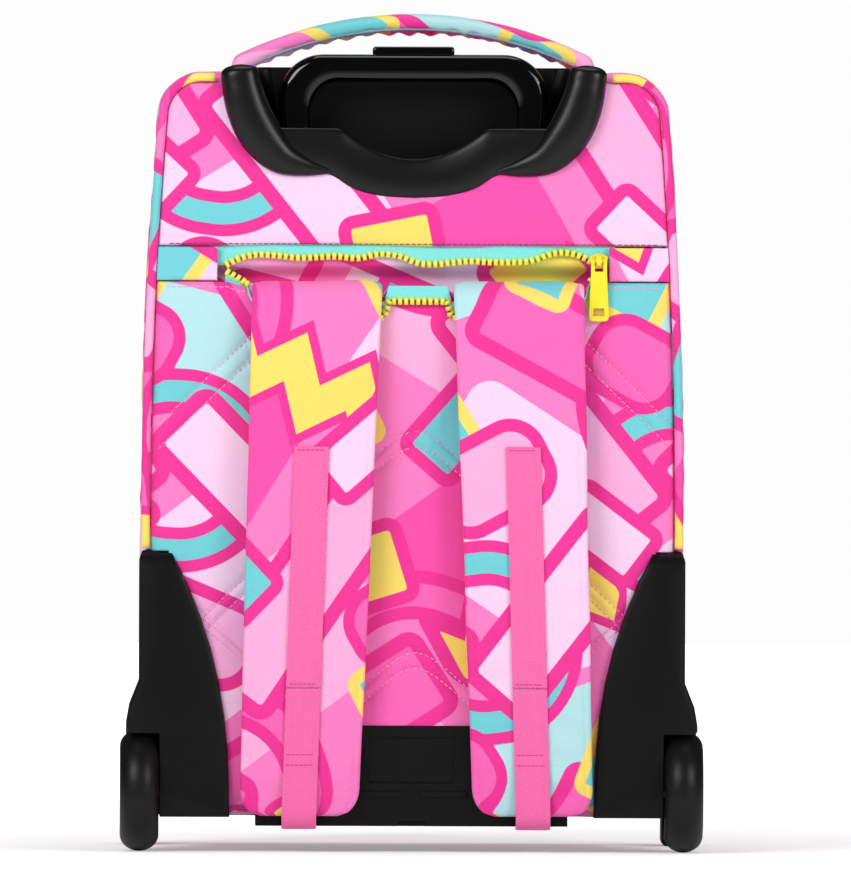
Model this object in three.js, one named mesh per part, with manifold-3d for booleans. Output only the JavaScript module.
// A child's wheeled backpack: a soft printed case on two wheels, with a telescopic handle in a
// moulded tray and two shoulder straps that come out of a zipped pocket in its back.
// Millimetres. +Z is up, -Y is the back with the straps, and +X is to the right seen from there.
// The origin is on the ground, under the middle of the whole thing.
import * as THREE from "three";
import { mergeVertices } from "three/addons/utils/BufferGeometryUtils.js";
import Module from "manifold-3d";

const wasm = await Module();
wasm.setup();

// Case
const caseTop = 450;
const caseBottom = 20;
const topHalfWidth = 146;
const bottomHalfWidth = 152;
const sideBow = 8;
const topCorner = 24;
const bottomCorner = 26;
const halfDepth = 115;
const frontDome = 18;
const domePower = 2.6;
const clothWall = 2.5;
const gap = 0.3;
const wheelStandoff = 24.5;
const backPanelWall = 3;
const sideBulge = 6.2;
const pipingRadius = 2.5;
const pipingSides = 6;
const farOut = 200;

// Back pocket
const yokeDrop = 26;
const zipOpening = 20;
const pocketPad = 5.8;
const pocketDepth = 13.5;
const innerWall = 2;
const pocketEdgeBevel = 2;
const edgeFoldDrop = 3;
const edgePressDrop = 10.5;
const edgePlay = 0.6;
const edgeSlope = 2.5;
const innerWallLean = 24;

// Pocket zip
const tapeWall = 1;
const tapeWidth = 7;
const chainHeight = 3.4;
const chainWidth = 2.4;
const zipLeft = -110;
const zipRight = 108;
const sliderWidth = 10.3;
const sliderHeight = 9;
const pullWidth = 11.5;
const pullLength = 35;
const pullWall = 2;
const pullNeck = 8;
const pullCorner = 3;
const pullBar = 1.1;
const bridgeInner = 1.8;
const bridgeWall = 1.6;
const bridgeWidth = 3;
const pullPlay = 0.9;
const bridgeRoom = 5.2;

// Shoulder straps
const strapThickness = 9;
const strapTopWidth = 75;
const strapEndWidth = 69;
const strapFold = 10.5;
const strapFoldRise = 1;
const strapInPocket = 45;
const strapEnd = 21;
const strapBow = 5.5;
const strapHem = 9;
const webbingWidth = 20;
const webbingWall = 1.5;
const webbingTop = 234;
const webbingLap = 95;
const webbingCurl = 9;
const webbingLeavesStrap = 60;
const webbingFree = 38;
const strapSides = [
  { name: "left", side: -1, topX: 55.2, endX: 65 },
  { name: "right", side: 1, topX: 60.7, endX: 70 },
];

// Carry handle
const handleRise = 33.8;
const handleSpan = 104;
const handleThickness = 11;
const handleEndThickness = 4;
const handleDepth = 28;
const handleSetback = 64.5;

// Handle tray
const trayHalfWidth = 111.5;
const trayTop = 456;
const trayLipBottom = 377;
const trayShoulderX = 47;
const trayShoulderZ = 389.5;
const lipTop = 417.5;
const lipProud = 4;
const lipWall = 8.5;
const scoopHalfWidth = 42;
const scoopDrop = 17.5;
const wellHalfWidth = 83;
const wellMouthHalfWidth = 92;
const wellFloor = 375;
const wellDepth = 44.5;
const trayWall = 3;

// Telescopic handle
const railX = 68.4;
const railSetback = 28.5;
const railWall = 1.2;
const railPlay = 0.4;
const outerRailWidth = 22;
const outerRailDepth = 14.4;
const railCorner = 4;
const stageTravel = 260;
const stageOverlap = 85;
const gripTop = 460;
const gripHalfWidth = 78;
const gripLegWidth = 19.3;
const gripBar = 16;
const gripCorner = 26;
const gripDepth = 24;
const gripLegEnd = 392;
const gripInnerCorner = 16;
const gripBevel = 5;
const buttonHalfWidth = 23.6;
const buttonProud = 4.6;
const buttonDepth = 12;
const buttonTravel = 3;
const buttonSeat = 6;

// Base and running gear
const baseHalfWidth = 90;
const baseTop = 73;
const baseBottom = 15;
const baseWall = 4.7;
const baseReach = 54;
const basePanelHalfWidth = 24.5;
const basePanelLow = 40;
const basePanelHigh = 66.5;
const basePanelDent = 1.6;
const baseRib = { inner: 5, outer: 32, low: 32, high: 35, proud: 1.2 };
const baseNotch = { half: 8, deep: 2.5, high: 3 };
const cutPast = 5;
const socketWall = 2;
const socketHeight = 16;
const wheelRadius = 35;
const wheelWidth = 22.4;
const wheelX = 157;
const tyreBand = 10;
const tyreCrown = 9.4;
const tyreSteps = 8;
const hubBoss = 10;
const hubLip = 3;
const axleHead = 3;
const axleCap = 2.4;
const axleRadius = 4;
const axleBore = 4.4;
const wheelSteps = 24;
const pocketClearance = 3;
const wheelPlay = 0.5;
const housingTop = 175;
const housingInner = 105;
const housingInnerTop = 140;
const housingPastWheel = 0.5;
const fenderShortOfTyre = 3.4;
const housingBehindAxle = 18;
const housingAheadOfAxle = 66;
const housingWall = 3;
const housingToe = 16;
const footSetback = 49;
const footLength = 40;
const footHeight = 62;
const footWallHeight = 26;
const footRim = 4;
const footCorner = 4;
const footShortOfWheel = 1.2;

// Places worked out from the sizes above
const handlePeak = caseTop + handleRise;
const buttonTop = gripTop + buttonProud;
const frontSeam = halfDepth - frontDome;
const backFace = wheelStandoff - halfDepth;
const panelBack = backFace + backPanelWall;
const panelInset = sideBulge;
const pipingInset = panelInset - gap - pipingRadius;
const pipingY = backFace + backPanelWall / 2;
const innerWallY = panelBack + pocketDepth;
const padFace = panelBack - pocketPad;
const wheelY = wheelRadius - halfDepth;
const housingOuter = wheelX + housingPastWheel;
const fenderOuter = wheelX + wheelWidth / 2 - fenderShortOfTyre;
const housingRear = wheelY - housingBehindAxle;
const housingFront = wheelY + housingAheadOfAxle;
const footY = halfDepth - footSetback;
const yokeEdge = wellFloor - yokeDrop;
const pocketHem = yokeEdge - zipOpening;
const edgeFoldTop = pocketHem - edgeFoldDrop;
const edgePressed = pocketHem - edgePressDrop;
const strapTop = pocketHem + strapFoldRise;
const strapRoot = strapTop - strapInPocket;
const handleY = backFace + handleSetback;
const lipFace = backFace - lipProud;
const wellBackY = backFace + wellDepth;
const railY = backFace + railSetback;
const stage = {
  width: outerRailWidth - 2 * (railWall + railPlay),
  depth: outerRailDepth - 2 * (railWall + railPlay),
};
const last = {
  width: stage.width - 2 * (railWall + railPlay),
  depth: stage.depth - 2 * (railWall + railPlay),
};

const colours = {
  print: new THREE.Color(0xff6db4),
  lining: new THREE.Color(0xf7d75c),
  piping: new THREE.Color(0xff3fa4),
  webbing: new THREE.Color(0xff5fa5),
  tape: new THREE.Color(0x7fe5e0),
  metal: new THREE.Color(0xffee3d),
  satin: new THREE.Color(0x14121a),
  gloss: new THREE.Color(0x08070a),
  steel: new THREE.Color(0x8c8f94),
  rubber: new THREE.Color(0x17161a),
};

function finish(colour, roughness, metalness = 0) {
  return new THREE.MeshStandardMaterial({ color: colour, roughness, metalness });
}

// Turns a closed geometry's triangles round if they face inwards.
function facingOut(geometry) {
  const p = geometry.attributes.position;
  const index = geometry.index.array;
  const a = new THREE.Vector3();
  const b = new THREE.Vector3();
  const c = new THREE.Vector3();
  let volume = 0;
  for (let i = 0; i < index.length; i += 3) {
    a.fromBufferAttribute(p, index[i]);
    b.fromBufferAttribute(p, index[i + 1]);
    c.fromBufferAttribute(p, index[i + 2]);
    volume += a.dot(b.cross(c));
  }
  if (volume < 0) {
    for (let i = 0; i < index.length; i += 3) [index[i], index[i + 1]] = [index[i + 1], index[i]];
  }
  return geometry;
}

function solidOf(geometry) {
  const bare = geometry.clone();
  bare.deleteAttribute("normal");
  bare.deleteAttribute("uv");
  const merged = facingOut(mergeVertices(bare, 1e-4));
  const vertProperties = new Float32Array(merged.attributes.position.array);
  const triVerts = new Uint32Array(merged.index.array);
  return new wasm.Manifold(new wasm.Mesh({ numProp: 3, vertProperties, triVerts }));
}

function geometryOf(solid) {
  const mesh = solid.getMesh();
  const geometry = new THREE.BufferGeometry();
  geometry.setAttribute("position", new THREE.BufferAttribute(new Float32Array(mesh.vertProperties), 3));
  geometry.setIndex(new THREE.BufferAttribute(new Uint32Array(mesh.triVerts), 1));
  return geometry;
}

// Carries a profile, a list of [across, up] places, through stations and closes the ends.
function sweep(stations, ring = false) {
  const count = stations[0].profile.length;
  const points = [];
  for (const { at, across, up, profile } of stations) {
    for (const [a, b] of profile) {
      const p = at.clone().addScaledVector(across, a).addScaledVector(up, b);
      points.push(p.x, p.y, p.z);
    }
  }
  const index = [];
  const spans = ring ? stations.length : stations.length - 1;
  for (let i = 0; i < spans; i += 1) {
    const next = ((i + 1) % stations.length) * count;
    for (let j = 0; j < count; j += 1) {
      const k = (j + 1) % count;
      index.push(i * count + j, i * count + k, next + k, i * count + j, next + k, next + j);
    }
  }
  if (!ring) {
    const end = (stations.length - 1) * count;
    const flat = (profile) => profile.map(([a, b]) => new THREE.Vector2(a, b));
    const turned = THREE.ShapeUtils.area(flat(stations[0].profile)) < 0;
    for (const [i, j, k] of THREE.ShapeUtils.triangulateShape(flat(stations[0].profile), [])) {
      index.push(...(turned ? [i, j, k] : [k, j, i]));
    }
    for (const [i, j, k] of THREE.ShapeUtils.triangulateShape(flat(stations.at(-1).profile), [])) {
      index.push(...(turned ? [end + k, end + j, end + i] : [end + i, end + j, end + k]));
    }
  }
  const geometry = new THREE.BufferGeometry();
  geometry.setAttribute("position", new THREE.Float32BufferAttribute(points, 3));
  geometry.setIndex(index);
  return facingOut(geometry);
}

// A flat outline in X and Z, thickened from one Y to another, with its edges rounded by a bevel.
function slabXZ(shape, fromY, toY, bevel = 0, bevelDepth = bevel, segments = 2) {
  const geometry = new THREE.ExtrudeGeometry(shape, {
    depth: toY - fromY - 2 * bevelDepth,
    bevelEnabled: bevel > 0,
    bevelThickness: bevelDepth,
    bevelSize: bevel,
    bevelOffset: -bevel,
    bevelSegments: segments,
    curveSegments: 5,
  });
  geometry.rotateX(Math.PI / 2);
  geometry.translate(0, toY - bevelDepth, 0);
  return geometry;
}

// A flat outline in Y and Z, thickened from one X to another.
function slabYZ(shape, fromX, toX, bevel = 0) {
  const geometry = new THREE.ExtrudeGeometry(shape, {
    depth: toX - fromX - 2 * bevel,
    bevelEnabled: bevel > 0,
    bevelThickness: bevel,
    bevelSize: bevel,
    bevelOffset: -bevel,
    bevelSegments: 2,
    curveSegments: 6,
  });
  const turn = new THREE.Matrix4().makeBasis(
    new THREE.Vector3(0, 1, 0),
    new THREE.Vector3(0, 0, 1),
    new THREE.Vector3(1, 0, 0),
  );
  geometry.applyMatrix4(turn);
  geometry.translate(fromX + bevel, 0, 0);
  return geometry;
}

function block(x0, x1, y0, y1, z0, z1) {
  const geometry = new THREE.BoxGeometry(x1 - x0, y1 - y0, z1 - z0);
  geometry.translate((x0 + x1) / 2, (y0 + y1) / 2, (z0 + z1) / 2);
  return geometry;
}

// A rod along X, from one X to another.
function rodX(radius, x0, x1, y, z, sides) {
  const geometry = new THREE.CylinderGeometry(radius, radius, x1 - x0, sides);
  geometry.rotateZ(Math.PI / 2);
  geometry.translate((x0 + x1) / 2, y, z);
  return geometry;
}

function polygon(points) {
  return new THREE.Shape(points.map(([x, z]) => new THREE.Vector2(x, z)));
}

function mirrored(geometry) {
  const copy = geometry.index ? geometry.clone() : mergeVertices(geometry.clone(), 1e-4);
  copy.scale(-1, 1, 1);
  return facingOut(copy);
}

// A rounded flat section: the nearer the power is to 0, the squarer it is.
function softSection(width, height, sides = 12, power = 0.5) {
  return Array.from({ length: sides }, (_, i) => {
    const turn = ((i + 0.5) / sides) * 2 * Math.PI;
    const c = Math.cos(turn);
    const s = Math.sin(turn);
    return [
      (width / 2) * Math.sign(c) * Math.abs(c) ** power,
      (height / 2) * Math.sign(s) * Math.abs(s) ** power,
    ];
  });
}

function barSection(width, height) {
  const w = width / 2;
  const h = height / 2;
  return [[-w, -h], [w, -h], [w, h], [-w, h]];
}

const alongX = new THREE.Vector3(1, 0, 0);
const alongY = new THREE.Vector3(0, 1, 0);
const alongZ = new THREE.Vector3(0, 0, 1);

// The case's side: how far it stands from the middle at a height, with its slight outward bow.
function sideAt(z) {
  const t = (z - caseBottom) / (caseTop - caseBottom);
  return THREE.MathUtils.lerp(bottomHalfWidth, topHalfWidth, t) + sideBow * 4 * t * (1 - t);
}

// The case's outline seen from the back, drawn in by an inset, from the bottom up the right side
// and down the left.
function caseOutline(inset) {
  const top = caseTop - inset;
  const bottom = caseBottom + inset;
  const topR = Math.max(topCorner - inset, 2);
  const bottomR = Math.max(bottomCorner - inset, 2);
  const half = [];
  const flatSteps = 2;
  const cornerSteps = 4;
  const sideSteps = 7;
  const bottomEnd = sideAt(bottom) - inset - bottomR;
  for (let i = 0; i < flatSteps; i += 1) half.push([(bottomEnd * (i + 0.5)) / flatSteps, bottom]);
  for (let i = 0; i <= cornerSteps; i += 1) {
    const a = (i / cornerSteps) * (Math.PI / 2);
    const z = bottom + bottomR * (1 - Math.cos(a));
    half.push([sideAt(z) - inset - bottomR * (1 - Math.sin(a)), z]);
  }
  for (let i = 1; i < sideSteps; i += 1) {
    const z = THREE.MathUtils.lerp(bottom + bottomR, top - topR, i / sideSteps);
    half.push([sideAt(z) - inset, z]);
  }
  for (let i = 0; i <= cornerSteps; i += 1) {
    const a = (i / cornerSteps) * (Math.PI / 2);
    const z = top - topR * (1 - Math.sin(a));
    half.push([sideAt(z) - inset - topR * (1 - Math.cos(a)), z]);
  }
  const topEnd = sideAt(top) - inset - topR;
  for (let i = flatSteps - 1; i >= 0; i -= 1) half.push([(topEnd * (i + 0.5)) / flatSteps, top]);
  return [...half, ...half.map(([x, z]) => [-x, z]).reverse()];
}

// Across the depth from the back seam to the front seam, the share of the side bulge that is lost.
const gussetRows = [
  { depth: 0, inset: 1 },
  { depth: 0.04, inset: 0.38 },
  { depth: 0.25, inset: 0.04 },
  { depth: 0.5, inset: 0 },
  { depth: 0.72, inset: 0.08 },
  { depth: 0.9, inset: 0.34 },
  { depth: 1, inset: 1.1 },
];
const gussetBack = panelBack + gap;
const gussetFront = frontSeam - gap;

function gussetInsetAt(y) {
  const share = (y - gussetBack) / (gussetFront - gussetBack);
  const k = gussetRows.findIndex((row) => row.depth >= share);
  const high = gussetRows[Math.max(k, 1)];
  const low = gussetRows[Math.max(k, 1) - 1];
  const t = (share - low.depth) / (high.depth - low.depth);
  return sideBulge * THREE.MathUtils.lerp(low.inset, high.inset, t);
}

// Side, top and bottom band of the case, open to the back and the front.
function gussetBody() {
  const skin = gussetRows.map((row) => ({
    y: THREE.MathUtils.lerp(gussetBack, gussetFront, row.depth),
    inset: sideBulge * row.inset,
  }));
  const loop = [...skin, ...skin.map(({ y, inset }) => ({ y, inset: inset + clothWall })).reverse()];
  const outlines = loop.map(({ inset }) => caseOutline(inset));
  const points = [];
  const count = loop.length;
  const places = outlines[0].length;
  for (let i = 0; i < places; i += 1) {
    loop.forEach(({ y }, j) => points.push(outlines[j][i][0], y, outlines[j][i][1]));
  }
  const index = [];
  for (let i = 0; i < places; i += 1) {
    const next = ((i + 1) % places) * count;
    for (let j = 0; j < count; j += 1) {
      const k = (j + 1) % count;
      index.push(i * count + j, i * count + k, next + k, i * count + j, next + k, next + j);
    }
  }
  const geometry = new THREE.BufferGeometry();
  geometry.setAttribute("position", new THREE.Float32BufferAttribute(points, 3));
  geometry.setIndex(index);
  return facingOut(geometry);
}

// The front panel: a shallow dome of padded cloth inside the front seam.
function frontPanelBody() {
  const rim = caseOutline(sideBulge + gap);
  const middle = (caseTop + caseBottom) / 2;
  const spread = [0.3, 0.62, 0.86, 1];
  const rise = (s) => (frontDome - clothWall) * (1 - s ** domePower);
  const ring = (s, front) =>
    rim.map(([x, z]) => [x * s, middle + (z - middle) * s, frontSeam + rise(s) + front]);
  const rings = [
    ...spread.map((s) => ring(s, clothWall)),
    ...spread.map((s) => ring(s, 0)).reverse(),
  ];
  const count = rim.length;
  const points = rings.flat(2);
  const index = [];
  for (let i = 0; i < rings.length - 1; i += 1) {
    for (let j = 0; j < count; j += 1) {
      const k = (j + 1) % count;
      index.push(i * count + j, i * count + k, (i + 1) * count + k);
      index.push(i * count + j, (i + 1) * count + k, (i + 1) * count + j);
    }
  }
  const tips = [frontSeam + frontDome, frontSeam + frontDome - clothWall];
  const fans = [0, (rings.length - 1) * count];
  const swap = fans.map((first, n) => {
    const tip = points.length / 3;
    points.push(0, tips[n], middle);
    return { first, tip };
  });
  swap.forEach(({ first, tip }, n) => {
    for (let j = 0; j < count; j += 1) {
      const k = (j + 1) % count;
      index.push(...(n === 0 ? [tip, first + k, first + j] : [tip, first + j, first + k]));
    }
  });
  for (let i = 0; i < rings.length * count; i += 1) {
    const z = points[3 * i + 1];
    points[3 * i + 1] = points[3 * i + 2];
    points[3 * i + 2] = z;
  }
  const geometry = new THREE.BufferGeometry();
  geometry.setAttribute("position", new THREE.Float32BufferAttribute(points, 3));
  geometry.setIndex(index);
  return facingOut(geometry);
}

// Piping is a round cord in a cloth sleeve: this carries its section along flat points at one Y.
function pipingAlong(points, y, ring) {
  const count = points.length;
  const stations = points.map(([x, z], i) => {
    const before = points[ring ? (i + count - 1) % count : Math.max(i - 1, 0)];
    const after = points[ring ? (i + 1) % count : Math.min(i + 1, count - 1)];
    const run = new THREE.Vector3(after[0] - before[0], 0, after[1] - before[1]).normalize();
    const out = new THREE.Vector3(run.z, 0, -run.x);
    const profile = Array.from({ length: pipingSides }, (_, j) => {
      const a = ((j + 0.5) / pipingSides) * 2 * Math.PI;
      return [pipingRadius * Math.cos(a), pipingRadius * Math.sin(a)];
    });
    return { at: new THREE.Vector3(x, y, z), across: out, up: alongY, profile };
  });
  return sweep(stations, ring);
}

// One side's back piping, from the wheel housing up and round the corner to the tray.
function backPipingBody() {
  const all = caseOutline(pipingInset);
  const top = caseTop - pipingInset;
  const start = housingTop + gap + 0.5;
  const right = all.filter(([x, z]) => x > trayHalfWidth + 6 && z > start + 6);
  const first = [sideAt(start) - pipingInset, start];
  const lastPoint = [trayHalfWidth + 2 * gap, top];
  return pipingAlong([first, ...right, lastPoint], pipingY, false);
}

function trayShape(inset) {
  const w = trayHalfWidth - inset;
  const top = trayTop - Math.max(inset, 0);
  const low = trayLipBottom + inset;
  const sx = trayShoulderX - inset * 0.5;
  const sz = trayShoulderZ + inset;
  const shape = new THREE.Shape();
  shape.moveTo(0, low);
  shape.quadraticCurveTo(sx * 0.62, low + 0.5, sx, sz);
  shape.bezierCurveTo(w * 0.72, sz + 1, w * 0.97, sz + 16, w, trayTop - 10);
  shape.quadraticCurveTo(w, top, w - 11, top);
  shape.lineTo(-w + 11, top);
  shape.quadraticCurveTo(-w, top, -w, trayTop - 10);
  shape.bezierCurveTo(-w * 0.97, sz + 16, -w * 0.72, sz + 1, -sx, sz);
  shape.quadraticCurveTo(-sx * 0.62, low + 0.5, 0, low);
  return shape;
}

// Down each rounded arm of the tray, as shares of its half width and of its height over the shoulder:
// the middle of its section, and its half width and half depth as shares of the thickest.
const armRows = [
  { x: 0.87, z: 1.0, half: 0.55, deep: 0.5 },
  { x: 0.872, z: 0.96, half: 0.9, deep: 0.85 },
  { x: 0.868, z: 0.82, half: 1.0, deep: 1.0 },
  { x: 0.845, z: 0.58, half: 1.0, deep: 1.0 },
  { x: 0.785, z: 0.35, half: 0.92, deep: 0.92 },
  { x: 0.69, z: 0.17, half: 0.7, deep: 0.72 },
  { x: 0.56, z: 0.085, half: 0.4, deep: 0.45 },
  { x: 0.45, z: 0.05, half: 0.16, deep: 0.3 },
];
const armHalf = 13.5;
const armDeep = 10;

function armEnds(i) {
  if (i === 0) return -1;
  return i === armRows.length - 1 ? 1 : 0;
}

function trayArm(grow) {
  const places = armRows.map((row) => [
    row.x * trayHalfWidth,
    THREE.MathUtils.lerp(trayShoulderZ, trayTop + 0.6, row.z),
  ]);
  const stations = armRows.map((row, i) => {
    const a = places[Math.max(i - 1, 0)];
    const b = places[Math.min(i + 1, places.length - 1)];
    const run = new THREE.Vector3(b[0] - a[0], 0, b[1] - a[1]).normalize();
    return {
      at: new THREE.Vector3(places[i][0], backFace - 1, places[i][1]).addScaledVector(run, grow * armEnds(i)),
      across: new THREE.Vector3(run.z, 0, -run.x),
      up: alongY,
      profile: softSection(2 * (armHalf * row.half + grow), 2 * (armDeep * row.deep + grow), 12, 0.9),
    };
  });
  return sweep(stations);
}

// The tray's outer form, made larger all round by grow where cloth is cut out for it.
function trayOuter(grow) {
  const neckInset = 5 - grow;
  const flange = slabXZ(trayShape(-grow), lipFace - grow, backFace - gap + grow * 0.9, grow ? 0 : 1.2);
  const neck = slabXZ(trayShape(neckInset), lipFace + 2, panelBack + 2, 0);
  const side = wellHalfWidth + trayWall + grow;
  const mouth = wellMouthHalfWidth + 5 + grow;
  const top = trayTop - 3 + grow;
  const floor = wellFloor - trayWall - grow;
  const well = polygon([
    [-side, floor],
    [side, floor],
    [side, lipTop - 3],
    [mouth, top],
    [-mouth, top],
    [-side, lipTop - 3],
  ]);
  const back = wellBackY + trayWall + grow;
  let solid = solidOf(flange).add(solidOf(neck)).add(solidOf(slabXZ(well, panelBack + gap, back)));
  const arm = trayArm(grow);
  solid = solid.add(solidOf(arm)).add(solidOf(mirrored(arm)));
  return solid;
}

function trayBody() {
  const mouth = polygon([
    [-gripHalfWidth, lipTop],
    [gripHalfWidth, lipTop],
    [wellMouthHalfWidth, trayTop + 6],
    [-wellMouthHalfWidth, trayTop + 6],
  ]);
  const inner = lipFace + lipWall;
  const scoop = new THREE.Shape();
  scoop.absellipse(0, lipTop, scoopHalfWidth, scoopDrop, 0, 2 * Math.PI);
  let solid = trayOuter(0)
    .subtract(solidOf(slabXZ(mouth, lipFace - 20, wellBackY)))
    .subtract(solidOf(block(-wellHalfWidth, wellHalfWidth, inner, wellBackY, wellFloor, lipTop + 1)))
    .subtract(solidOf(slabXZ(scoop, lipFace - 20, inner + 1)));
  for (const x of [-railX, railX]) {
    const w = stage.width / 2 + railPlay;
    const d = stage.depth / 2 + railPlay;
    solid = solid.subtract(
      solidOf(block(x - w, x + w, railY - d, railY + d, wellFloor - 10, wellFloor + 1)),
    );
  }
  return solid;
}

// Top part of the case's back, above the pocket zip.
function yokeBody(tray) {
  const outline = caseOutline(panelInset).filter(([, z]) => z > yokeEdge + 4);
  const sides = sideAt(yokeEdge) - panelInset;
  const right = outline.filter(([x]) => x > 0);
  const left = outline.filter(([x]) => x < 0);
  const shape = polygon([[sides, yokeEdge], ...right, ...left, [-sides, yokeEdge]]);
  return solidOf(slabXZ(shape, backFace, panelBack)).subtract(tray);
}

// The pocket panel's top edge: the straps press it down, and between them it is folded outwards.
const strapEdges = strapSides.map(({ side, topX }) => ({
  low: side * topX - strapTopWidth / 2 - edgePlay,
  high: side * topX + strapTopWidth / 2 + edgePlay,
}));
const [underLeft, underRight] = strapEdges;

function pocketEdge() {
  return [
    [zipLeft + 1, pocketHem],
    [underLeft.low - edgeSlope * 3, edgeFoldTop - 1],
    [underLeft.low - edgeSlope * 0.8, edgePressed],
    [underLeft.high, edgePressed],
    [underLeft.high + edgeSlope, edgeFoldTop],
    [underRight.low - edgeSlope, edgeFoldTop],
    [underRight.low, edgePressed],
    [underRight.high + edgeSlope * 0.8, edgePressed],
    [underRight.high + edgeSlope * 2, edgeFoldTop - 1],
    [zipRight - 1, pocketHem],
  ];
}

function pocketPanelShape() {
  const inset = panelInset;
  const steps = 8;
  const right = Array.from({ length: steps + 1 }, (_, i) => {
    const z = THREE.MathUtils.lerp(caseBottom + inset, pocketHem - gap, i / steps);
    return [sideAt(z) - inset, z];
  });
  const edge = pocketEdge();
  const flat = [zipRight + 4, pocketHem - gap];
  const flatLeft = [zipLeft - 2, pocketHem - gap];
  const left = right.map(([x, z]) => [-x, z]).reverse();
  return polygon([...right, flat, ...edge.reverse(), flatLeft, ...left]);
}

function pocketPanelBody(housings, base) {
  const pad = slabXZ(pocketPanelShape(), padFace, panelBack + 4, pocketEdgeBevel, pocketPad - backPanelWall, 2);
  const back = block(-farOut, farOut, panelBack, panelBack + 20, 0, caseTop);
  let solid = solidOf(pad).subtract(solidOf(back)).subtract(base);
  for (const housing of housings) solid = solid.subtract(housing);
  return solid;
}

// The cloth between pocket and case, leaning back to the yoke above the zip.
function innerBackWallBody(housings, core) {
  const top = wellFloor - trayWall - gap;
  const low = top - innerWallLean;
  const yTop = panelBack + gap;
  const shape = polygon([
    [innerWallY, caseBottom],
    [innerWallY + innerWall, caseBottom],
    [innerWallY + innerWall, low],
    [yTop + innerWall, top],
    [yTop, top],
    [innerWallY, low - innerWall],
  ]);
  let solid = solidOf(slabYZ(shape, -farOut, farOut)).intersect(core);
  for (const housing of housings) solid = solid.subtract(housing);
  return solid;
}

// Cloth patch that closes the zip's end against the side seam.
function zipPatchBody(side) {
  const inner = side > 0 ? zipRight + 5 : -zipLeft + 3;
  const outer = sideAt(pocketHem) - panelInset;
  const outerHigh = sideAt(yokeEdge) - panelInset;
  const shape = polygon([
    [side * inner, pocketHem + gap],
    [side * outer, pocketHem + gap],
    [side * outerHigh, yokeEdge - gap],
    [side * inner, yokeEdge - gap],
  ]);
  return facingOut(mergeVertices(bareOf(slabXZ(shape, backFace, panelBack)), 1e-4));
}

function bareOf(geometry) {
  const bare = geometry.clone();
  bare.deleteAttribute("normal");
  bare.deleteAttribute("uv");
  return bare;
}

// The open zip's upper chain, wavy as it hangs: x is a share of the half length from the middle,
// and drop a share of the sag below the yoke's edge.
const chainRows = [
  { x: -0.99, drop: 1.0 },
  { x: -0.93, drop: 0.62 },
  { x: -0.84, drop: 0.3 },
  { x: -0.74, drop: 0.3 },
  { x: -0.6, drop: 0.46 },
  { x: -0.4, drop: 0.36 },
  { x: -0.28, drop: 0.46 },
  { x: -0.16, drop: 0.19 },
  { x: -0.06, drop: 0.36 },
  { x: 0.04, drop: 0.8 },
  { x: 0.14, drop: 0.84 },
  { x: 0.28, drop: 0.66 },
  { x: 0.5, drop: 0.72 },
  { x: 0.64, drop: 0.6 },
  { x: 0.76, drop: 0.1 },
  { x: 0.84, drop: 0.1 },
  { x: 0.93, drop: 0.5 },
  { x: 0.99, drop: 0.95 },
];
const chainSag = 9;
const zipHalf = (zipRight - zipLeft) / 2;
const zipMiddle = (zipRight + zipLeft) / 2;

function chainPath() {
  return chainRows.map((row) => [zipMiddle + zipHalf * row.x, yokeEdge - 0.5 - chainSag * row.drop]);
}

function upperTapeBody() {
  const path = chainPath();
  const tapeFace = panelBack + gap;
  const top = yokeEdge + 4;
  const tape = polygon([...path.map(([x, z]) => [x, z - 1]), [path.at(-1)[0], top], [path[0][0], top]]);
  const chain = sweep(
    path.map(([x, z]) => ({
      at: new THREE.Vector3(x, tapeFace + tapeWall / 2, z - chainHeight / 2),
      across: alongY,
      up: alongZ,
      profile: barSection(chainWidth, chainHeight),
    })),
  );
  const cutTop = block(-farOut, farOut, backFace - 5, panelBack + gap, yokeEdge - gap, yokeEdge + 20);
  return solidOf(slabXZ(tape, tapeFace, tapeFace + tapeWall)).add(solidOf(chain)).subtract(solidOf(cutTop));
}

// The open zip's lower tape. Each row gives where its seam lies, how far it is turned outwards, from
// 0, upright behind the pocket's edge, to 1, hanging over it, and how far its cloth is spread.
function lowerTapeRows() {
  const twist = 1.2;
  const hung = edgePressed - 1;
  const fold = edgeFoldTop + 0.6;
  const tips = tapeWidth + chainHeight;
  const meet = yokeEdge - 0.5 - chainSag - chainHeight - gap - tips;
  return [
    { x: zipLeft + 1.5, z: meet, turn: 0, spread: 1 },
    { x: underLeft.low - 2.6 * twist, z: meet - 3, turn: 0, spread: 1 },
    { x: underLeft.low - 1.4 * twist, z: hung + 3.5, turn: 0.5, spread: 0.35 },
    { x: underLeft.low - 0.5 * twist, z: hung, turn: 1, spread: 1 },
    { x: underLeft.high, z: hung, turn: 1, spread: 1 },
    { x: underLeft.high + edgeSlope, z: fold, turn: 1, spread: 1 },
    { x: underRight.low - edgeSlope, z: fold, turn: 1, spread: 1 },
    { x: underRight.low, z: hung, turn: 1, spread: 1 },
    { x: underRight.high + 0.2 * twist, z: hung, turn: 1, spread: 1 },
    { x: underRight.high + twist, z: hung + 3.5, turn: 0.5, spread: 0.35 },
    { x: underRight.high + 2.2 * twist, z: meet - 3, turn: 0, spread: 1 },
    { x: zipRight - 1.2, z: meet, turn: 0, spread: 1 },
  ];
}

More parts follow.
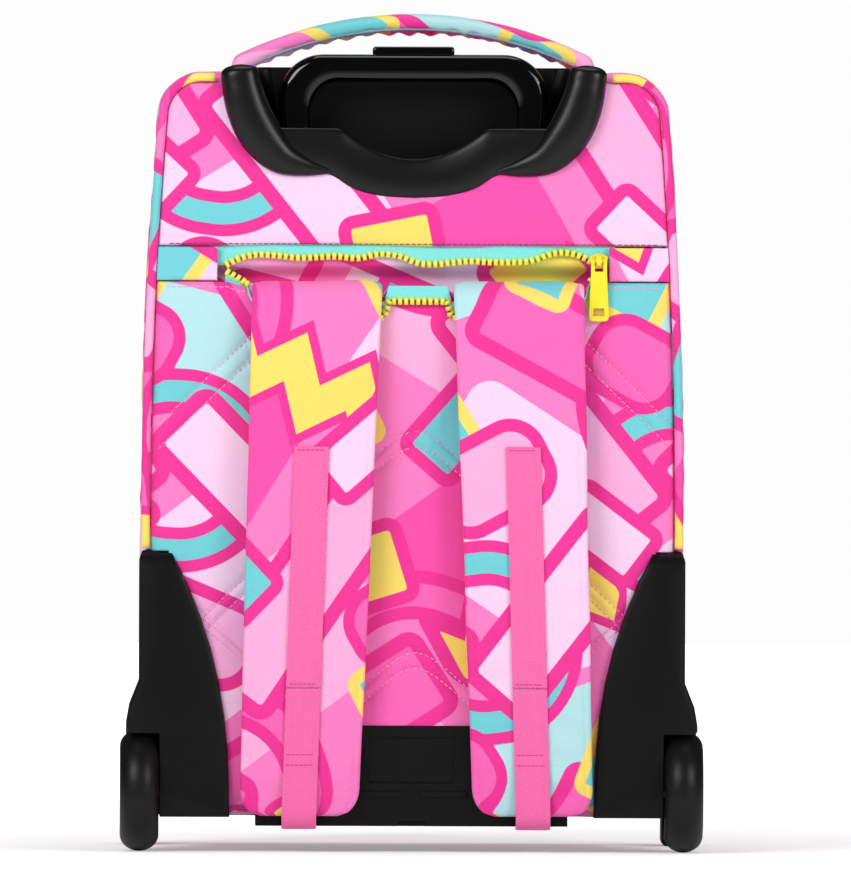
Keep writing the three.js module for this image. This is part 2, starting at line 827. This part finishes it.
function lowerTapeBody() {
  const upright = panelBack + gap + tapeWall / 2;
  const hanging = padFace - gap - chainWidth / 2;
  const stations = lowerTapeRows().map((row) => {
    const a = row.turn * Math.PI;
    const tip = new THREE.Vector3(0, -Math.sin(a), Math.cos(a));
    const w = tapeWidth * row.spread;
    const c = chainHeight * row.spread;
    const t = tapeWall / 2;
    const h = (chainWidth / 2) * (row.spread < 1 ? 0.8 : 1);
    return {
      at: new THREE.Vector3(row.x, THREE.MathUtils.lerp(upright, hanging, Math.min(1, row.turn * 1.5)), row.z),
      across: tip,
      up: new THREE.Vector3(0, -tip.z, tip.y),
      profile: [[0, -t], [w, -t], [w, -h], [w + c, -h], [w + c, h], [w, h], [w, t], [0, t]],
    };
  });
  return sweep(stations);
}

const sliderX = zipRight - 1;
const sliderRise = 12.5;
const pullPivot = { y: padFace - gap - pullWall / 2 - 0.3, z: pocketHem + sliderRise };

function zipSliderBody() {
  const face = pullPivot.y + bridgeInner;
  const z = pullPivot.z;
  const bodyShape = new THREE.Shape();
  const w = sliderWidth / 2;
  const h = sliderHeight / 2;
  bodyShape.moveTo(sliderX - w * 0.6, z - h);
  bodyShape.lineTo(sliderX + w * 0.6, z - h);
  bodyShape.quadraticCurveTo(sliderX + w, z, sliderX + w, z + h * 0.5);
  bodyShape.quadraticCurveTo(sliderX, z + h * 1.3, sliderX - w, z + h * 0.5);
  bodyShape.quadraticCurveTo(sliderX - w, z, sliderX - w * 0.6, z - h);
  const chainFace = panelBack + gap + tapeWall / 2 - chainWidth / 2;
  const body = slabXZ(bodyShape, face, chainFace - gap, 0);
  const out = bridgeInner + bridgeWall;
  const bridge = new THREE.Shape();
  bridge.moveTo(face + 0.5, z + out);
  bridge.lineTo(pullPivot.y, z + out);
  bridge.absarc(pullPivot.y, z, out, Math.PI / 2, (3 * Math.PI) / 2, false);
  bridge.lineTo(face + 0.5, z - out);
  bridge.lineTo(face + 0.5, z - bridgeInner);
  bridge.lineTo(pullPivot.y, z - bridgeInner);
  bridge.absarc(pullPivot.y, z, bridgeInner, (3 * Math.PI) / 2, Math.PI / 2, true);
  bridge.lineTo(face + 0.5, z + bridgeInner);
  return solidOf(body).add(solidOf(slabYZ(bridge, sliderX - bridgeWidth / 2, sliderX + bridgeWidth / 2)));
}

function zipPullBody() {
  const w = pullWidth / 2;
  const z = pullPivot.z;
  const bottom = z - pullLength;
  const shape = new THREE.Shape();
  shape.moveTo(sliderX - w, bottom + pullCorner);
  shape.quadraticCurveTo(sliderX - w, bottom, sliderX - w + pullCorner, bottom);
  shape.lineTo(sliderX + w - pullCorner, bottom);
  shape.quadraticCurveTo(sliderX + w, bottom, sliderX + w, bottom + pullCorner);
  shape.lineTo(sliderX + w * 0.8, z - pullNeck);
  shape.lineTo(sliderX + w * 0.8, z + pullBar);
  shape.lineTo(sliderX - w * 0.8, z + pullBar);
  shape.lineTo(sliderX - w * 0.8, z - pullNeck);
  shape.closePath();
  const windowHalf = bridgeWidth / 2 + pullPlay;
  const windowTop = z - pullBar;
  const fingerHole = polygon([
    [sliderX - w * 0.62, bottom + 3],
    [sliderX + w * 0.62, bottom + 3],
    [sliderX + w * 0.5, bottom + 7.5],
    [sliderX - w * 0.5, bottom + 7.5],
  ]);
  const y0 = pullPivot.y - pullWall / 2;
  const y1 = pullPivot.y + pullWall / 2;
  const windowLow = windowTop - bridgeRoom;
  const window = block(sliderX - windowHalf, sliderX + windowHalf, y0 - 1, y1 + 1, windowLow, windowTop);
  return solidOf(slabXZ(shape, y0, y1))
    .subtract(solidOf(window))
    .subtract(solidOf(slabXZ(fingerHole, y0 - 1, y1 + 1)));
}

// The strap's line, from its root in the pocket up over the pocket's edge and down to its end.
const foldY = panelBack - pocketPad / 2;
const foldZ = strapTop - strapThickness / 2 - strapFold;
const strapPathSteps = 8;

function strapLine() {
  const line = [
    { y: foldY + strapFold, z: strapRoot },
    { y: foldY + strapFold, z: (strapRoot + foldZ) / 2 },
  ];
  const turns = 6;
  for (let i = 0; i <= turns; i += 1) {
    const a = (i / turns) * Math.PI;
    line.push({ y: foldY + strapFold * Math.cos(a), z: foldZ + strapFold * Math.sin(a) });
  }
  const hang = Array.from({ length: strapPathSteps }, (_, i) => (i + 1) / strapPathSteps);
  hang.splice(-1, 0, 1 - strapHem / (foldZ - strapEnd));
  for (const t of hang) line.push({ y: strapHangY(t), z: THREE.MathUtils.lerp(foldZ, strapEnd, t) });
  return line;
}

function strapHangY(t) {
  return foldY - strapFold - strapBow * Math.sin(Math.PI * Math.min(t * 1.05, 1));
}

function strapCentreX(row, z) {
  const t = THREE.MathUtils.clamp((strapTop - z) / (strapTop - strapEnd), 0, 1);
  return row.side * THREE.MathUtils.lerp(row.topX, row.endX, t);
}

function strapBody(row) {
  const line = strapLine();
  const stations = line.map((p, i) => {
    const before = line[Math.max(i - 1, 0)];
    const after = line[Math.min(i + 1, line.length - 1)];
    const run = new THREE.Vector3(0, after.y - before.y, after.z - before.z).normalize();
    const t = THREE.MathUtils.clamp((strapTop - p.z) / (strapTop - strapEnd), 0, 1);
    const tuck = i === 0 || i === line.length - 1 ? 0.82 : 1;
    const width = THREE.MathUtils.lerp(strapTopWidth, strapEndWidth, t) * tuck;
    return {
      at: new THREE.Vector3(strapCentreX(row, p.z), p.y, p.z),
      across: alongX,
      up: new THREE.Vector3(0, -run.z, run.y),
      profile: softSection(width, strapThickness * (i === line.length - 1 ? 0.6 : 1), 10, 0.42),
    };
  });
  return sweep(stations);
}

function webbingStation(row, y, z, run) {
  return {
    at: new THREE.Vector3(strapCentreX(row, z), y, z),
    across: alongX,
    up: new THREE.Vector3(0, -run.z, run.y),
    profile: barSection(webbingWidth, webbingWall),
  };
}

const webbingOff = strapThickness / 2 + gap + 0.15 + webbingWall / 2;

function strapShareAt(z) {
  return (foldZ - z) / (foldZ - strapEnd);
}

// Webbing sewn down the middle of the strap's outer face.
function upperWebbingBody(row) {
  const steps = 6;
  const down = new THREE.Vector3(0, 0, -1);
  const stations = Array.from({ length: steps + 1 }, (_, i) => {
    const z = THREE.MathUtils.lerp(webbingTop, webbingLap, i / steps);
    return webbingStation(row, strapHangY(strapShareAt(z)) - webbingOff, z, down);
  });
  return sweep(stations);
}

// Webbing from the lap down round the strap's end and under the base.
function lowerWebbingBody(row) {
  const under = baseBottom - gap - webbingWall / 2;
  const faceY = strapHangY(1) - webbingOff - 1;
  const curl = webbingCurl;
  const line = [
    { y: strapHangY(strapShareAt(webbingLap)) - webbingOff, z: webbingLap - gap },
    { y: strapHangY(strapShareAt(webbingLeavesStrap)) - webbingOff, z: webbingLeavesStrap },
    { y: faceY, z: webbingFree },
    { y: faceY, z: under + curl },
  ];
  const turns = 4;
  for (let i = 1; i <= turns; i += 1) {
    const a = (i / turns) * (Math.PI / 2);
    line.push({ y: faceY + curl * (1 - Math.cos(a)), z: under + curl * (1 - Math.sin(a)) });
  }
  line.push({ y: backFace + 6, z: under });
  const stations = line.map((p, i) => {
    const before = line[Math.max(i - 1, 0)];
    const after = line[Math.min(i + 1, line.length - 1)];
    const run = new THREE.Vector3(0, after.y - before.y, after.z - before.z).normalize();
    return webbingStation(row, p.y, p.z, run);
  });
  return sweep(stations);
}

// Padded carry handle: an arch whose flattened ends are sewn to the top of the case.
function carryHandleBody() {
  const foot = caseTop + gap + handleEndThickness / 2;
  const peak = handlePeak - handleThickness / 2;
  const rise = peak - foot;
  const radius = (handleSpan ** 2 + rise ** 2) / (2 * rise);
  const steps = 18;
  const stations = Array.from({ length: steps + 1 }, (_, i) => {
    const x = THREE.MathUtils.lerp(-handleSpan, handleSpan, i / steps);
    const z = peak - radius + Math.sqrt(radius ** 2 - x ** 2);
    const up = new THREE.Vector3(x, 0, z - (peak - radius)).normalize();
    const end = Math.min(1, (1 - Math.abs(x) / handleSpan) / 0.12);
    const thick = THREE.MathUtils.lerp(handleEndThickness, handleThickness, end);
    return {
      at: new THREE.Vector3(x, handleY, z),
      across: alongY,
      up: end < 0.01 ? alongZ : up,
      profile: softSection(handleDepth * (0.8 + 0.2 * end), thick, 12, 0.6),
    };
  });
  return sweep(stations);
}

function roundedRectangle(shape, x0, x1, z0, z1, r) {
  shape.moveTo(x0 + r, z0);
  shape.lineTo(x1 - r, z0);
  shape.absarc(x1 - r, z0 + r, r, -Math.PI / 2, 0, false);
  shape.lineTo(x1, z1 - r);
  shape.absarc(x1 - r, z1 - r, r, 0, Math.PI / 2, false);
  shape.lineTo(x0 + r, z1);
  shape.absarc(x0 + r, z1 - r, r, Math.PI / 2, Math.PI, false);
  shape.lineTo(x0, z0 + r);
  shape.absarc(x0 + r, z0 + r, r, Math.PI, 1.5 * Math.PI, false);
  return shape;
}

// The grip: a glossy arch on two legs that slide down into the tray.
function gripBody() {
  const inner = gripHalfWidth - gripLegWidth;
  const r = gripCorner;
  const innerR = gripInnerCorner;
  const shape = new THREE.Shape();
  shape.moveTo(inner, gripLegEnd);
  shape.lineTo(gripHalfWidth, gripLegEnd);
  shape.lineTo(gripHalfWidth, gripTop - r);
  shape.absarc(gripHalfWidth - r, gripTop - r, r, 0, Math.PI / 2, false);
  shape.absarc(-gripHalfWidth + r, gripTop - r, r, Math.PI / 2, Math.PI, false);
  shape.lineTo(-gripHalfWidth, gripLegEnd);
  shape.lineTo(-inner, gripLegEnd);
  const underside = gripTop - gripBar;
  shape.lineTo(-inner, underside - innerR);
  shape.absarc(-inner + innerR, underside - innerR, innerR, Math.PI, Math.PI / 2, true);
  shape.absarc(inner - innerR, underside - innerR, innerR, Math.PI / 2, 0, true);
  const half = gripDepth / 2;
  const b = buttonHalfWidth + gap;
  const d = buttonDepth / 2 + gap;
  const floor = buttonTop - buttonSeat - buttonTravel - gap - 1;
  return solidOf(slabXZ(shape, railY - half, railY + half, gripBevel, gripBevel, 2)).subtract(
    solidOf(block(-b, b, railY - d, railY + d, floor, gripTop + 5)),
  );
}

function buttonBody() {
  const low = buttonTop - buttonSeat - 1;
  const shape = roundedRectangle(new THREE.Shape(), -buttonHalfWidth, buttonHalfWidth, low, buttonTop, 2);
  return slabXZ(shape, railY - buttonDepth / 2, railY + buttonDepth / 2, 0);
}

// One hollow rail of the telescopic handle, standing upright.
function railBody(x, width, depth, fromZ, toZ) {
  const shape = roundedRectangle(
    new THREE.Shape(), -width / 2, width / 2, -depth / 2, depth / 2, Math.min(railCorner, depth / 2 - 0.6),
  );
  const w = width / 2 - railWall;
  const d = depth / 2 - railWall;
  const hole = roundedRectangle(new THREE.Path(), -w, w, -d, d, Math.max(railCorner - railWall, 1));
  shape.holes.push(hole);
  const depthways = { depth: toZ - fromZ, bevelEnabled: false, curveSegments: 2 };
  const geometry = new THREE.ExtrudeGeometry(shape, depthways);
  geometry.translate(x, railY, fromZ);
  return geometry;
}

// Base moulding: a rear flange, a floor under the case, and sockets for the outer rails.
function baseOuter(grow) {
  const w = baseHalfWidth + grow;
  const flange = block(-w, w, padFace - grow, panelBack + grow, baseBottom, baseTop + grow);
  const floor = block(-w, w, padFace - grow, padFace + baseReach, baseBottom, baseBottom + baseWall);
  return solidOf(flange).add(solidOf(floor));
}

function baseBody() {
  let solid = baseOuter(0);
  const low = baseBottom + baseWall;
  const w = outerRailWidth / 2 + gap;
  const d = outerRailDepth / 2 + gap;
  const s = socketWall;
  for (const x of [-railX, railX]) {
    const socket = block(x - w - s, x + w + s, railY - d - s, railY + d + s, low - 1, low + socketHeight);
    const hole = block(x - w, x + w, railY - d, railY + d, low, low + socketHeight + 1);
    solid = solid.add(solidOf(socket)).subtract(solidOf(hole));
  }
  const h = basePanelHalfWidth;
  const frame = block(-h, h, padFace - cutPast, padFace + basePanelDent, basePanelLow, basePanelHigh);
  solid = solid.subtract(solidOf(frame));
  const { inner, outer, low: ribLow, high: ribHigh, proud } = baseRib;
  const rib = solidOf(block(inner, outer, padFace - proud, padFace + 1, ribLow, ribHigh));
  solid = solid.add(rib).add(rib.mirror([1, 0, 0]));
  const n = baseNotch;
  return solid.subtract(
    solidOf(block(-n.half, n.half, padFace - cutPast, padFace + n.deep, baseBottom - 1, baseBottom + n.high)),
  );
}

// Outline of a wheel housing seen from the back, made larger all round by grow; open moves its
// inner edge further in.
function housingBackShape(grow, open = 0) {
  const steps = 8;
  const low = caseBottom - grow;
  const inner = Array.from({ length: steps + 1 }, (_, i) => {
    const t = i / steps;
    return [
      housingInner - grow - open + (housingInnerTop - housingInner) * t ** 2.5,
      THREE.MathUtils.lerp(low, housingTop + grow, t),
    ];
  });
  const outer = housingOuter + grow;
  const fender = fenderOuter + grow;
  const top = housingTop + grow;
  return polygon([
    ...inner,
    [outer - 6, top],
    [outer - 1.6, top - 2],
    [outer, top - 7],
    [outer, housingTop * 0.56],
    [outer + (fender - outer) * 0.75, housingTop * 0.48],
    [fender, housingTop * 0.42],
    [fender, low],
  ].reverse());
}

// Outline of a wheel housing seen from the side, sweeping down towards the front.
function housingSideShape(grow) {
  const rear = housingRear - grow;
  const front = housingFront + grow;
  const low = caseBottom - grow;
  const top = housingTop + grow;
  const at = (share) => THREE.MathUtils.lerp(caseBottom, housingTop, share) + grow;
  const middle = (housingRear + housingFront) / 2 + grow;
  const shape = new THREE.Shape();
  shape.moveTo(rear, low);
  shape.lineTo(front - housingToe, low);
  shape.lineTo(front, at(0.24));
  shape.quadraticCurveTo(front - 8, at(0.52), middle, at(0.8));
  shape.quadraticCurveTo(housingRear + 26 + grow, top, housingRear + 18 + grow, top);
  shape.quadraticCurveTo(rear, top, rear, top - 14);
  shape.closePath();
  return shape;
}

function housingOuterForm(grow) {
  const bevel = grow > 0 ? 0 : 3;
  const back = slabXZ(housingBackShape(grow), housingRear - grow, housingFront + grow, bevel);
  const side = slabYZ(housingSideShape(grow), housingInner - 20, fenderOuter + 20);
  return solidOf(back).intersect(solidOf(side));
}

// A wheel housing on the right: a hollow shell round the case's lower corner, open to the inside
// of the case, with a round pocket for the wheel and a bore for its axle.
function housingBody() {
  const wallX = wheelX - wheelWidth / 2 - wheelPlay;
  const pocketRadius = wheelRadius + pocketClearance;
  const pocket = rodX(pocketRadius, wallX, fenderOuter + 10, wheelY, wheelRadius, 32);
  const below = block(wallX, fenderOuter + 10, housingRear - 10, wheelY + pocketRadius, 0, wheelRadius);
  const wall = housingWall;
  const reach = wheelY + pocketRadius + wall;
  const kept = solidOf(rodX(pocketRadius + wall, wallX - wall, fenderOuter + 10, wheelY, wheelRadius, 32)).add(
    solidOf(block(wallX - wall, fenderOuter + 10, housingRear - 10, reach, 0, wheelRadius)),
  );
  const cavitySide = slabYZ(housingSideShape(-wall), housingInner - 60, fenderOuter + 20);
  const cavity = solidOf(slabXZ(housingBackShape(-wall), housingRear + wall, housingFront - wall));
  const openFrom = panelBack + wall + 1;
  const mouth = solidOf(slabXZ(housingBackShape(-wall, 30), openFrom, housingFront - wall));
  const hollow = cavity.add(mouth).intersect(solidOf(cavitySide)).subtract(kept);
  return housingOuterForm(0)
    .subtract(hollow)
    .subtract(solidOf(pocket))
    .subtract(solidOf(below))
    .subtract(solidOf(rodX(axleRadius + gap, wallX - 20, wallX + 1, wheelY, wheelRadius, 16)));
}

function latheAlongX(points) {
  const geometry = new THREE.LatheGeometry(points.map(([r, x]) => new THREE.Vector2(r, x)), wheelSteps);
  geometry.rotateZ(-Math.PI / 2);
  geometry.translate(0, wheelY, wheelRadius);
  return facingOut(mergeVertices(bareOf(geometry), 1e-4));
}

function tyreBody() {
  const h = wheelWidth / 2;
  const r = wheelRadius;
  const seat = r - tyreBand;
  const profile = [[seat, -h * 0.72]];
  for (let i = 0; i <= tyreSteps; i += 1) {
    const a = THREE.MathUtils.lerp(-Math.PI / 2, Math.PI / 2, i / tyreSteps);
    profile.push([r - tyreCrown * (1 - Math.cos(a)), h * Math.sin(a)]);
  }
  profile.push([seat, h * 0.72], [seat, -h * 0.72]);
  return latheAlongX(profile).translate(wheelX, 0, 0);
}

function hubBody() {
  const h = wheelWidth / 2;
  const rim = wheelRadius - tyreBand - gap;
  const profile = [
    [axleBore, -h * 0.8],
    [hubBoss, -h * 0.8],
    [rim - hubLip, -h * 0.45],
    [rim, -h * 0.68],
    [rim, h * 0.68],
    [rim - hubLip, h * 0.5],
    [hubBoss, h * 0.82],
    [axleBore, h * 0.82],
    [axleBore, -h * 0.8],
  ];
  return latheAlongX(profile).translate(wheelX, 0, 0);
}

function axleBody() {
  const wallX = wheelX - wheelWidth / 2 - wheelPlay;
  const inside = wallX - housingWall - gap;
  const outside = wheelX + wheelWidth / 2 - gap;
  const hubFace = wheelX + (wheelWidth / 2) * 0.82 + gap;
  const head = rodX(axleRadius + axleHead, inside - 2, inside, wheelY, wheelRadius, 16);
  const cap = rodX(axleRadius + axleCap, hubFace, outside, wheelY, wheelRadius, 16);
  const pin = rodX(axleRadius, wallX - housingWall - 2, wheelX + wheelWidth / 2 - 1, wheelY, wheelRadius, 16);
  return solidOf(pin).add(solidOf(head)).add(solidOf(cap));
}

// A moulded foot round the case's lower front corner, in line with the wheel behind it.
function footBody() {
  const inner = wheelX - wheelWidth / 2 + footShortOfWheel;
  const outer = wheelX + wheelWidth / 2 - footShortOfWheel;
  const back = footY - footLength / 2;
  const front = footY + footLength / 2;
  const inset = Math.min(gussetInsetAt(back), gussetInsetAt(footY), gussetInsetAt(front)) - gap;
  const shape = new THREE.Shape();
  shape.moveTo(inner + footCorner, 0);
  shape.lineTo(outer - footCorner, 0);
  shape.quadraticCurveTo(outer, 0, outer, footCorner);
  shape.lineTo(outer, footWallHeight);
  shape.lineTo(sideAt(footHeight) + footRim, footHeight);
  shape.lineTo(inner, footHeight);
  shape.lineTo(inner, footCorner);
  shape.quadraticCurveTo(inner, 0, inner + footCorner, 0);
  const room = new THREE.Shape(caseOutline(inset).map(([x, z]) => new THREE.Vector2(x, z)));
  return solidOf(slabXZ(shape, back, front)).subtract(solidOf(slabXZ(room, back - gap, front + gap)));
}

// The main zip's closed tape, which runs up one side of the gusset, over the top and down the other.
const mainZipSetback = 57;
const mainZipY = halfDepth - mainZipSetback;
const mainZipWidth = 12;
const mainZipWall = 1.2;
const mainZipEnd = 60;

function mainZipBody() {
  const from = mainZipY - mainZipWidth / 2;
  const to = mainZipY + mainZipWidth / 2;
  const lift = gap + 0.1;
  const corners = [
    { y: from, lift },
    { y: to, lift },
    { y: to, lift: lift + mainZipWall },
    { y: from, lift: lift + mainZipWall },
  ].map(({ y, lift: raised }) => ({ y, outline: caseOutline(gussetInsetAt(y) - raised) }));
  const kept = corners[0].outline.map((_, i) => i).filter((i) => corners[0].outline[i][1] > mainZipEnd);
  const points = [];
  for (const i of kept) {
    for (const { y, outline } of corners) points.push(outline[i][0], y, outline[i][1]);
  }
  const count = corners.length;
  const index = [];
  for (let i = 0; i < kept.length - 1; i += 1) {
    for (let j = 0; j < count; j += 1) {
      const k = (j + 1) % count;
      index.push(i * count + j, i * count + k, (i + 1) * count + k);
      index.push(i * count + j, (i + 1) * count + k, (i + 1) * count + j);
    }
  }
  const end = (kept.length - 1) * count;
  index.push(0, 2, 1, 0, 3, 2, end, end + 1, end + 2, end, end + 2, end + 3);
  const geometry = new THREE.BufferGeometry();
  geometry.setAttribute("position", new THREE.Float32BufferAttribute(points, 3));
  geometry.setIndex(index);
  return facingOut(geometry);
}

const group = new THREE.Group();

function put(name, shape, material) {
  const geometry = shape.isBufferGeometry ? shape : geometryOf(shape);
  const mesh = new THREE.Mesh(geometry, material);
  mesh.name = name;
  group.add(mesh);
}

const print = finish(colours.print, 0.85);
const lining = finish(colours.lining, 0.9);
const pipingFinish = finish(colours.piping, 0.8);
const webbingFinish = finish(colours.webbing, 0.85);
const tapeFinish = finish(colours.tape, 0.8);
const sliderFinish = finish(colours.metal, 0.35);
const satin = finish(colours.satin, 0.5);
const gloss = finish(colours.gloss, 0.08);
const steel = finish(colours.steel, 0.3, 1);
const rubber = finish(colours.rubber, 0.7);

const trayCut = trayOuter(gap);
const housingCut = housingOuterForm(2 * gap);
const housingCuts = [housingCut, solidOf(mirrored(geometryOf(housingCut)))];
const core = solidOf(slabXZ(polygon(caseOutline(sideBulge + clothWall + gap)), backFace - 20, frontSeam));
const baseHole = block(
  -baseHalfWidth + 6, baseHalfWidth - 6, backFace - 5, padFace + baseReach - 4, caseBottom - 2, caseBottom + 12,
);

const roomFrom = wheelX - wheelWidth / 2 - pocketClearance;
const wheelRoom = rodX(
  wheelRadius + pocketClearance, roomFrom, wheelX + wheelWidth, wheelY, wheelRadius, 24,
);
let gusset = solidOf(gussetBody()).subtract(trayCut).subtract(solidOf(baseHole));
for (const housing of housingCuts) gusset = gusset.subtract(housing);
for (const room of [wheelRoom, mirrored(wheelRoom)]) gusset = gusset.subtract(solidOf(room));
put("gusset", gusset, print);
put("front_panel", frontPanelBody(), print);
put("yoke_panel", yokeBody(trayCut), print);
put("pocket_panel", pocketPanelBody(housingCuts, baseOuter(gap)), print);
put("inner_back_wall", innerBackWallBody(housingCuts, core), lining);
put("zip_patch_left", zipPatchBody(-1), print);
put("zip_patch_right", zipPatchBody(1), print);

const backPiping = backPipingBody();
put("piping_left", mirrored(backPiping), pipingFinish);
put("piping_right", backPiping, pipingFinish);
put("piping_front", pipingAlong(caseOutline(pipingInset), frontSeam, true), pipingFinish);
put("main_zip", mainZipBody(), tapeFinish);

put("zip_tape_upper", upperTapeBody(), tapeFinish);
put("zip_tape_lower", lowerTapeBody(), tapeFinish);
put("zip_slider", zipSliderBody(), sliderFinish);
put("zip_pull", zipPullBody(), sliderFinish);

for (const row of strapSides) {
  put(`strap_${row.name}`, strapBody(row), print);
  put(`webbing_upper_${row.name}`, upperWebbingBody(row), webbingFinish);
  put(`webbing_lower_${row.name}`, lowerWebbingBody(row), webbingFinish);
}
put("carry_handle", carryHandleBody(), print);

put("handle_tray", trayBody(), satin);
put("trolley_grip", gripBody(), gloss);
put("grip_button", buttonBody(), gloss);

const outerFrom = baseBottom + baseWall + gap;
const outerTo = wellFloor - trayWall - gap;
const stageFrom = outerTo - stageOverlap - stageTravel;
const stageTo = wellFloor + 3;
const lastFrom = stageFrom + 3;
for (const [name, side] of [["left", -1], ["right", 1]]) {
  put(`rail_outer_${name}`, railBody(side * railX, outerRailWidth, outerRailDepth, outerFrom, outerTo), steel);
  put(`rail_middle_${name}`, railBody(side * railX, stage.width, stage.depth, stageFrom, stageTo), steel);
  put(`rail_inner_${name}`, railBody(side * railX, last.width, last.depth, lastFrom, gripLegEnd - gap), steel);
}

put("base_plate", baseBody(), satin);
const housing = geometryOf(housingBody());
const axle = geometryOf(axleBody());
const foot = geometryOf(footBody());
const sides = [
  ["left", mirrored],
  ["right", (geometry) => geometry],
];
for (const [name, placed] of sides) {
  put(`wheel_housing_${name}`, placed(housing), satin);
  put(`axle_${name}`, placed(axle), steel);
  put(`tyre_${name}`, placed(tyreBody()), rubber);
  put(`wheel_hub_${name}`, placed(hubBody()), satin);
  put(`front_foot_${name}`, placed(foot), satin);
}

export default group;
